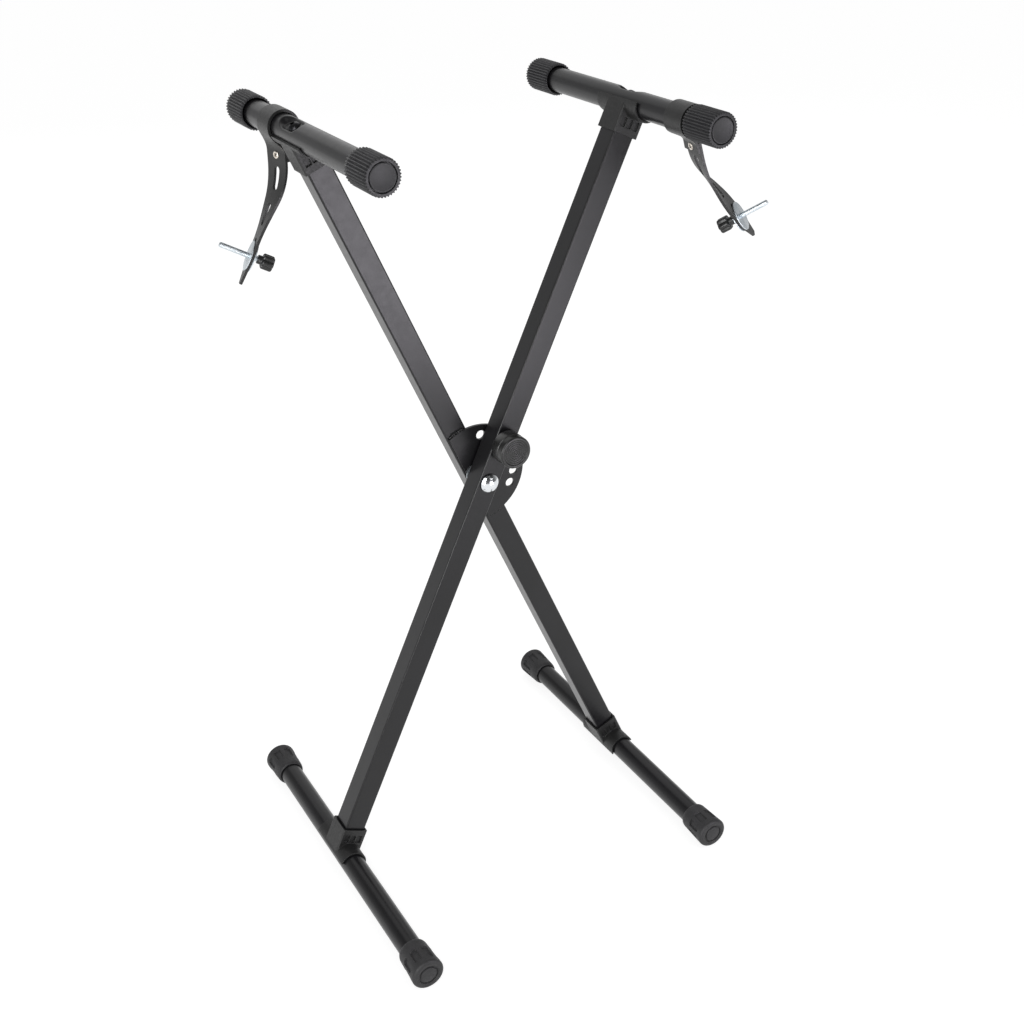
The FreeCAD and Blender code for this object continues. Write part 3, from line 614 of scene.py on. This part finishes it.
def weld_bead(rim_middle):
    """Quarter round along the rim; its radius ripples by two sines and shrinks away at the ends."""
    share = np.linspace(-1, 1, 66)
    seam = share * WELD_LENGTH / 2
    angle = rim_middle + seam / PLATE_RADIUS
    outward = np.stack([np.sin(angle), np.cos(angle)], axis=-1)
    swell = 1 + 0.20 * np.sin(2 * math.pi * seam / 2.9 + rim_middle)
    swell = swell + 0.12 * np.sin(2 * math.pi * seam / 6.1 + 2 * rim_middle)
    size = WELD_SIZE * swell * np.sqrt(1 - np.abs(share) ** 5)
    bend = np.concatenate([np.linspace(0, math.pi / 2, 13), [math.pi / 4]])
    reach = np.concatenate([np.ones(13), [-0.2]])
    spot = (PLATE_RADIUS + size[:, None] * reach * np.cos(bend))[..., None] * outward[:, None, :]
    y = LEG_FACE - size[:, None] * reach * np.sin(bend)
    turned_x = spot[..., 0] * math.cos(LEAN) - spot[..., 1] * math.sin(LEAN)
    turned_z = spot[..., 0] * math.sin(LEAN) + spot[..., 1] * math.cos(LEAN)
    return pivot + np.stack([turned_x, y, turned_z], axis=-1)


beads = surface("plate_weld_beads", weld_bead(0.0), weld_bead(math.pi))
print("welds:", dress(beads, "plate_welds"), "faces")

# %% [markdown]
# ## Straps
# A strap is one flat band of rubber. It starts below the rivet, goes up and round the arm, comes back
# to the rivet and hangs on as a tail that bends outward and twists. A flat band could be bent with
# modifiers, but the thumbscrew has to meet it exactly, so the line is computed: straight runs, an arc
# round the arm, two Hermite joins, and the same tail as in the solid. The band is a single sheet of
# faces with its slots left out, and Solidify gives it its thickness.

# %% The line of a strap
STRAP_THICKNESS = 3.0
STRAP_HALF_WIDTH = 15.5
TIP_HALF_WIDTH = 3.5
LOOP_RADIUS = 16.6
TAIL_OFFSET = 4.0
TAIL_BEND = math.radians(27.3)
BEND_RADIUS = 90.0
BEND_START = 60.0 - BEND_RADIUS * math.tan(TAIL_BEND / 2)
SCREW_STATION = 2 * BEND_START + BEND_RADIUS * TAIL_BEND + 85.0 - 60.0
TIP_STATION = SCREW_STATION + 32.0
TWISTS = {"left": np.radians([-16.0, 14.5]), "right": np.radians([8.0, 39.5])}
TWIST_START = 18.1
TWIST_END = SCREW_STATION - 17.0
RIVET_STATION = 31.0
RIVET_FLAT = 26.2
LAYER_END = 37.0
LAYER_START = 28.0
LAYER_GAP = 0.05
LOOP_LEAVE = math.radians(205)
LOOP_PULL = 26.0


def tail(side, station):
    """Point, surface direction and width direction at stations along a tail, twisted at rivet and screw."""
    turned = np.clip((station - BEND_START) / BEND_RADIUS, 0, TAIL_BEND)
    beyond = np.maximum(station - BEND_START - BEND_RADIUS * turned, 0)
    out = TAIL_OFFSET + BEND_RADIUS * (1 - np.cos(turned)) + beyond * np.sin(turned)
    down = np.minimum(station, BEND_START) + BEND_RADIUS * np.sin(turned) + beyond * np.cos(turned)
    at_rivet, at_screw = TWISTS[side]
    twist = at_rivet * ease((station - TWIST_START) / (RIVET_FLAT - TWIST_START))
    twist = twist + (at_screw - at_rivet) * ease((station - BEND_START) / (TWIST_END - BEND_START))
    flat = 0 * station
    point = np.stack([out, flat, -down], axis=-1)
    square = np.stack([np.cos(turned), flat, np.sin(turned)], axis=-1)
    normal = square * np.cos(twist)[:, None] - ALONG_Y * np.sin(twist)[:, None]
    across = ALONG_Y * np.cos(twist)[:, None] + square * np.sin(twist)[:, None]
    return point, normal, across


def hermite(start, start_pull, end, end_pull, count):
    """Cubic between two points that leaves and arrives along the given pulls."""
    t = np.linspace(0, 1, count)[:, None]
    start_share = 2 * t ** 3 - 3 * t ** 2 + 1
    pull_share = t ** 3 - 2 * t ** 2 + t
    return (start_share * start + pull_share * start_pull + (1 - start_share) * end
            + (t ** 3 - t ** 2) * end_pull)


def on_loop(angle):
    """Point and heading on the circle round the arm, travelled over the top."""
    point = np.array([math.cos(angle), 0, math.sin(angle)]) * LOOP_RADIUS
    return point, np.array([math.sin(angle), 0, -math.cos(angle)])


def loop_line(side):
    """Line and width directions from the inner layer up, round the arm over its top, to the tail."""
    point, normal, across = tail(side, np.linspace(LAYER_END, LAYER_START, 12))
    layer = point - normal * (STRAP_THICKNESS + LAYER_GAP)
    arrive, heading = on_loop(LOOP_LEAVE)
    rise = hermite(layer[-1], UP * LOOP_PULL, arrive, heading * LOOP_PULL, 30)
    angle = np.linspace(LOOP_LEAVE, math.pi - LOOP_LEAVE, 90)
    arc = np.stack([np.cos(angle), 0 * angle, np.sin(angle)], axis=-1) * LOOP_RADIUS
    leave, heading = on_loop(math.pi - LOOP_LEAVE)
    fall = hermite(leave, heading * LOOP_PULL, point[-1], -UP * LOOP_PULL, 30)
    share = ease(np.linspace(0, 1, 30))[:, None]
    settle = across[-1] * (1 - share) + ALONG_Y * share
    settle = settle / np.linalg.norm(settle, axis=1, keepdims=True)
    level = np.broadcast_to(ALONG_Y, arc.shape)
    line = np.concatenate([layer[:-1], rise[:-1], arc[:-1], fall[:-1]])
    return line, np.concatenate([across[:-1], settle[:-1], level[:-1], settle[:0:-1]])


for side in TWISTS:
    point, normal, _ = tail(side, np.array([SCREW_STATION]))
    print(side, "screw at station", round(SCREW_STATION, 2), point[0].round(2), "normal", normal[0].round(4))

# %% The band with its slots
SLOT_HALF_WIDTH = 4.3
SLOT_LENGTH = 26.0
SLOT_STARTS = np.array([43.0, 83.0, 123.0])
SLOT_SPREAD = 5.0
NARROWEST_SHARE = 0.8
BAND_COLUMNS = np.array([-1.0, -0.9, -0.6, -0.25, 0.0])
BAND_ROUNDING = 0.5
STRAP_SWING = {"left": 0.0, "right": math.radians(-17.5)}


def slot_edges(station):
    """Half width that the slots leave open at each station: straight sides with round ends, 0 elsewhere."""
    past = station[:, None] - SLOT_STARTS
    into = np.minimum(past, SLOT_LENGTH - past).max(axis=1)
    end = np.clip(SLOT_HALF_WIDTH - into, 0, SLOT_HALF_WIDTH)
    return np.where(into >= 0, np.sqrt(SLOT_HALF_WIDTH ** 2 - end ** 2), 0), into


def strap_sheet(side):
    """Grid of the band: rows along the line, columns from edge to slot to edge, and the cells to keep."""
    loop, loop_across = loop_line(side)
    station = np.append(np.arange(LAYER_START, TIP_STATION, 0.5), TIP_STATION)
    point, _, across = tail(side, station)
    line = np.concatenate([loop, point])
    across = np.concatenate([loop_across, across])
    taper = np.clip((station - SCREW_STATION) / (TIP_STATION - SCREW_STATION), 0, 1)
    width = STRAP_HALF_WIDTH + (TIP_HALF_WIDTH - STRAP_HALF_WIDTH) * taper
    width = np.concatenate([np.full(len(loop), STRAP_HALF_WIDTH), width])
    opening, into = slot_edges(station)
    near = np.where(into < 0, SLOT_HALF_WIDTH * ease(-into / SLOT_SPREAD), opening)
    near = np.concatenate([np.full(len(loop), SLOT_HALF_WIDTH), near])
    near = np.minimum(near, width * NARROWEST_SHARE)
    half = near[:, None] + (width - near)[:, None] * -BAND_COLUMNS
    offset = np.concatenate([-half, 0 * near[:, None], half[:, ::-1]], axis=1)
    keep = np.ones((len(line) - 1, offset.shape[1] - 1), bool)
    open_rows = np.concatenate([np.full(len(loop), False), into >= 0])
    centre = len(BAND_COLUMNS)
    keep[:, centre - 1:centre + 1] = ~(open_rows[:-1] & open_rows[1:])[:, None]
    return line[:, None, :] + offset[..., None] * across[:, None, :], keep


def strap_frame(side):
    """World directions of the strap's outward, along and up, and the place of the arm's axis."""
    place = np.array(joints[side + "_strap_swing"]["pos_m"]) / MM
    swing = STRAP_SWING[side]
    facing = -1.0 if side == "left" else 1.0
    outward = np.array([facing * math.cos(swing), 0, -math.sin(swing)])
    upward = np.array([facing * math.sin(swing), 0, math.cos(swing)])
    return place, np.stack([outward, facing * ALONG_Y, upward])


def strap(side):
    """The sheet in its place, with thickness to both sides and rounded edges from modifiers."""
    place, axes = strap_frame(side)
    sheet, keep = strap_sheet(side)
    piece = surface(side + "_band_strap", place + sheet @ axes, close_columns=False, keep=keep)
    wall = piece.modifiers.new("thickness", "SOLIDIFY")
    wall.thickness = STRAP_THICKNESS * MM
    wall.offset = 0
    rounding = piece.modifiers.new("soft edges", "BEVEL")
    rounding.width = BAND_ROUNDING * MM
    rounding.segments = 2
    rounding.limit_method = "ANGLE"
    rounding.angle_limit = math.radians(50)
    rounding.harden_normals = True
    return piece


SIDES = ("left", "right")
for side in SIDES:
    place, axes = strap_frame(side)
    screw = place + tail(side, np.array([SCREW_STATION]))[0][0] @ axes
    miss = np.linalg.norm(screw - np.array(joints[side + "_screw_turn"]["pos_m"]) / MM)
    faces = dress(strap(side), side + "_strap")
    print(side, "strap:", faces, "faces, meets its screw within", round(miss, 4))

# %% [markdown]
# ## Rivets, washers and thumbscrews
# The layers are held by a hollow eyelet, so its middle looks dark. The washers are flat with a soft
# edge. The thumbscrew has a shallow thread: the radius falls and rises once per pitch, and the phase
# advances round the axis, which makes a helix without any sweep.

# %% Eyelets and washers
WASHER_RADIUS = 17.0
WASHER_THICKNESS = 1.3
WASHER_SOFT = 0.35


def eyelet(side):
    """Closed ring of a rolled rim outside, a tube through both layers and a flat rim inside."""
    place, axes = strap_frame(side)
    point, normal, _ = tail(side, np.array([RIVET_STATION]))
    flat_rim = [(-5.2, 1.7), (-5.5, 2.2), (-5.4, 3.2), (-5.0, 4.1), (-4.5, 4.3), (-4.5, 2.4)]
    rolled_rim = [(1.5, 2.4), (1.5, 4.3), (1.9, 4.2), (2.4, 3.8), (2.7, 3.2), (2.7, 2.6), (2.5, 2.1),
                  (2.0, 1.8), (1.2, 1.7)]
    along, radius = columns_of(flat_rim + rolled_rim)
    points = around(place + point[0] @ axes, normal[0] @ axes, along, radius, turns(48))
    return surface(side + "_strap_eyelet", points, close_rows=True)


def screw_line(side):
    """Place and direction of a thumbscrew, from the joint that it turns in."""
    joint = joints[side + "_screw_turn"]
    return np.array(joint["pos_m"]) / MM, np.array(joint["axis"])


def washers(side):
    """Flat ring on each face of the strap, its section an oblong with eased corners."""
    place, axis = screw_line(side)
    start = STRAP_THICKNESS / 2
    end = start + WASHER_THICKNESS
    inner, outer = start + WASHER_SOFT, end - WASHER_SOFT
    hole = [(start, 3.3), (inner, 3.1), (outer, 3.1), (end, 3.3)]
    edge = [(end, WASHER_RADIUS - 0.5), (end - 0.12, WASHER_RADIUS - 0.15), (outer, WASHER_RADIUS),
            (inner, WASHER_RADIUS), (start + 0.12, WASHER_RADIUS - 0.15), (start, WASHER_RADIUS - 0.5)]
    along, radius = columns_of(hole + edge)
    rings = [around(place, axis, sign * along, radius, turns(96)) for sign in (1, -1)]
    return surface(side + "_flat_washers", *rings, close_rows=True)


for side in SIDES:
    faces = dress(eyelet(side), side + "_strap_rivet")
    print(side, faces + dress(washers(side), side + "_strap_washers"), "faces in eyelet and washers")

# %% Thumbscrews
THREAD_RADIUS = 3.0
THREAD_DEPTH = 0.07
THREAD_PITCH = 1.0
SCREW_END = 36.0
SCREW_START = -12.0
TIP_LENGTH = 1.2
TIP_SLOPE = 0.9
TIP_RADIUS = THREAD_RADIUS - 1.1
KNOB_LOBES = 6
LOBE_DEPTH = 1.9
LOBE_POWER = 1.6


def thumbscrew(side):
    """Radius = thread radius - depth x a clipped triangle wave of along / pitch - turn, with a cut tip."""
    place, axis = screw_line(side)
    along = np.arange(SCREW_START, SCREW_END, THREAD_PITCH / 8)[:, None]
    angle = turns(32)
    phase = np.mod(along / THREAD_PITCH - angle / (2 * math.pi), 1)
    valley = np.clip(1.3 * np.abs(2 * phase - 1) - 0.15, 0, 1)
    radius = THREAD_RADIUS - THREAD_DEPTH * valley
    radius = np.minimum(radius, THREAD_RADIUS - TIP_SLOPE * np.maximum(along - SCREW_END + TIP_LENGTH, 0))
    ends = np.array([[SCREW_START], [SCREW_END]])
    along = np.concatenate([ends[:1], along, ends[1:], ends[1:]])
    tip = np.full((1, len(angle)), TIP_RADIUS)
    radius = np.concatenate([0 * tip, radius, tip, 0 * tip])
    return surface(side + "_threaded_screw", around(place, axis, along, radius, angle))


def screw_knob(side):
    """Turned knob with a collar; six scallops are a raised cosine taken off its radius."""
    place, axis = screw_line(side)
    outline = [(-25.3, 0.0, 0), (-25.3, 6.1, 0.2), (-25.2, 7.2, 0.7), (-24.8, 8.0, 0.9), (-24.2, 8.55, 1),
               (-23.4, 8.8, 1), (-14.1, 8.8, 1), (-13.3, 8.55, 1), (-12.6, 8.0, 0.9), (-12.3, 7.2, 0.7),
               (-12.3, 5.6, 0), (-12.0, 5.2, 0), (-11.5, 5.0, 0), (-7.8, 5.0, 0), (-7.4, 4.8, 0),
               (-7.3, 4.5, 0), (-7.3, 3.1, 0), (-20.0, 3.1, 0), (-20.0, 0.0, 0)]
    along, radius, share = columns_of(outline)
    angle = turns(KNOB_LOBES * 20)
    scallop = ((1 + np.cos(KNOB_LOBES * angle)) / 2) ** LOBE_POWER
    radius = radius - LOBE_DEPTH * share * scallop
    return surface(side + "_lobed_knob", around(place, axis, along, radius, angle))


for side in SIDES:
    faces = dress(thumbscrew(side), side + "_screw")
    print(side, faces + dress(screw_knob(side), side + "_screw_knob"), "faces in screw and knob")

# %% [markdown]
# ## Camera, floor and light
# The camera stands where the edges of legs and tubes in the picture meet: in front, to the left and
# well above the stand. Satin black only shows what it mirrors. So the camera sees a white room, while
# mirrored rays see it grey behind the stand and darker overhead and in front. Three soft lamps light
# the stand, and two reflectors that only mirrors see lay a sheen on the legs. The floor glows for the
# camera and still takes the shadow.

# %% Camera
CAMERA_FROM_PIVOT = Vector((-0.70664, -1.3137, 0.73544))
YAW, PITCH, ROLL = (math.radians(angle) for angle in (29.584, 27.635, -0.177))
FOCAL_SHARE = 1386.5 / 1024
SENSOR = 36.0

forward = Vector((math.sin(YAW) * math.cos(PITCH), math.cos(YAW) * math.cos(PITCH), -math.sin(PITCH)))
level = Vector((math.cos(YAW), -math.sin(YAW), 0))
above = level.cross(forward)
right = level * math.cos(ROLL) + above * math.sin(ROLL)
top = above * math.cos(ROLL) - level * math.sin(ROLL)
camera_data = bpy.data.cameras.new("camera")
camera_data.sensor_width = SENSOR
camera_data.lens = SENSOR * FOCAL_SHARE
camera = bpy.data.objects.new("camera", camera_data)
standpoint = Vector(pivot * MM) + CAMERA_FROM_PIVOT
facing = Matrix((right, top, -forward)).transposed().to_4x4()
camera.matrix_world = Matrix.Translation(standpoint) @ facing
bpy.context.scene.collection.objects.link(camera)
bpy.context.scene.camera = camera
bpy.context.scene.view_settings.view_transform = "Standard"
print("lens", round(camera_data.lens, 2), "mm")

# %% White room
SEEN_LEVEL = 1.0
ROOM_LEVEL = 0.45
BACK_LEVEL = 0.62
OVERHEAD_LEVEL = 0.20
FRONT_LEVEL = 0.30
OVERHEAD_RANGE = (0.12, 0.62)
FRONT_RANGE = (-0.55, 0.25)


def math_step(tree, operation, first, second):
    """One operation on two values or sockets."""
    return add_node(tree, "ShaderNodeMath", {0: first, 1: second}, operation=operation).outputs[0]


def seen_share(tree):
    """1 for rays from the camera, a mirror or glass, and 0 for rays that only carry light."""
    path = add_node(tree, "ShaderNodeLightPath").outputs
    mirrored = math_step(tree, "MAXIMUM", path["Is Camera Ray"], path["Is Glossy Ray"])
    return math_step(tree, "MAXIMUM", mirrored, path["Is Transmission Ray"])


def mirrored_level(tree):
    """Level of the room by direction: light low at the back, darker overhead and towards the front."""
    way = add_node(tree, "ShaderNodeTexCoord").outputs["Generated"]
    parts = add_node(tree, "ShaderNodeSeparateXYZ", {0: way}).outputs
    overhead = spread(tree, parts["Z"], BACK_LEVEL, OVERHEAD_LEVEL, *OVERHEAD_RANGE)
    ahead = spread(tree, parts["Y"], FRONT_LEVEL, 1.0, *FRONT_RANGE)
    return math_step(tree, "MULTIPLY", overhead, ahead)


world = bpy.data.worlds.new("white room")
bpy.context.scene.world = world
world.use_nodes = True
tree = world.node_tree
by_camera = add_node(tree, "ShaderNodeLightPath").outputs["Is Camera Ray"]
mirrored = math_step(tree, "MAXIMUM", mirrored_level(tree), by_camera)
lit = math_step(tree, "SUBTRACT", 1.0, seen_share(tree))
level_share = math_step(tree, "ADD", math_step(tree, "MULTIPLY", mirrored, seen_share(tree)),
                        math_step(tree, "MULTIPLY", lit, ROOM_LEVEL))
tree.links.new(level_share, tree.nodes["Background"].inputs["Strength"])
tree.nodes["Background"].inputs["Color"].default_value = (SEEN_LEVEL, SEEN_LEVEL, SEEN_LEVEL, 1)

FLOOR_HALF = 9000.0
FLOOR_DROP = -0.3
FLOOR_GLOW = 0.84
FLOOR_BOUNCE = 0.25
FLOOR_GREY = 0.33
corners = np.linspace(-FLOOR_HALF, FLOOR_HALF, 3)
floor_x, floor_y = np.meshgrid(corners, corners)
floor_grid = np.stack([floor_x, floor_y, 0 * floor_x + FLOOR_DROP], axis=-1)
floor = surface("floor", floor_grid, close_columns=False)
pale = bpy.data.materials.new("pale floor")
pale.use_nodes = True
tree = pale.node_tree
shader = tree.nodes["Principled BSDF"]
shader.inputs["Base Color"].default_value = grey(FLOOR_GREY)
shader.inputs["Roughness"].default_value = 0.9
shader.inputs["Specular IOR Level"].default_value = 0.0
shader.inputs["Emission Color"].default_value = (1, 1, 1, 1)
glow = spread(tree, seen_share(tree), FLOOR_BOUNCE, FLOOR_GLOW, 0, 1)
tree.links.new(glow, shader.inputs["Emission Strength"])
floor.data.materials.append(pale)
print("floor", 2 * FLOOR_HALF * MM, "m wide")

# %% Soft lamps
NEUTRAL = (1.0, 1.0, 1.0)
VIOLET = (0.96, 0.92, 1.0)
LAMPS = (("key lamp", (-1.9, -1.9, 2.6), 1.4, 30.0, NEUTRAL, True),
         ("fill lamp", (1.2, -1.8, 2.1), 1.2, 6.0, NEUTRAL, True),
         ("back lamp", (0.6, 2.4, 2.6), 3.6, 22.0, NEUTRAL, True),
         ("low reflector", (0.38, -1.10, 0.46), 0.56, 5.6, VIOLET, False),
         ("side reflector", (-1.75, -1.3, 0.75), 1.0, 26.0, NEUTRAL, False))
LAMP_TARGET = Vector((0.0, 0.0, 0.5))
for name, place, size, watts, colour, lights in LAMPS:
    lamp_data = bpy.data.lights.new(name, "AREA")
    lamp_data.size = size
    lamp_data.energy = watts
    lamp_data.color = colour
    lamp = bpy.data.objects.new(name, lamp_data)
    lamp.location = place
    lamp.rotation_euler = (LAMP_TARGET - lamp.location).to_track_quat("-Z", "Y").to_euler()
    lamp.visible_camera = False
    lamp.visible_diffuse = lights
    bpy.context.scene.collection.objects.link(lamp)
print(len(LAMPS), "lamps")
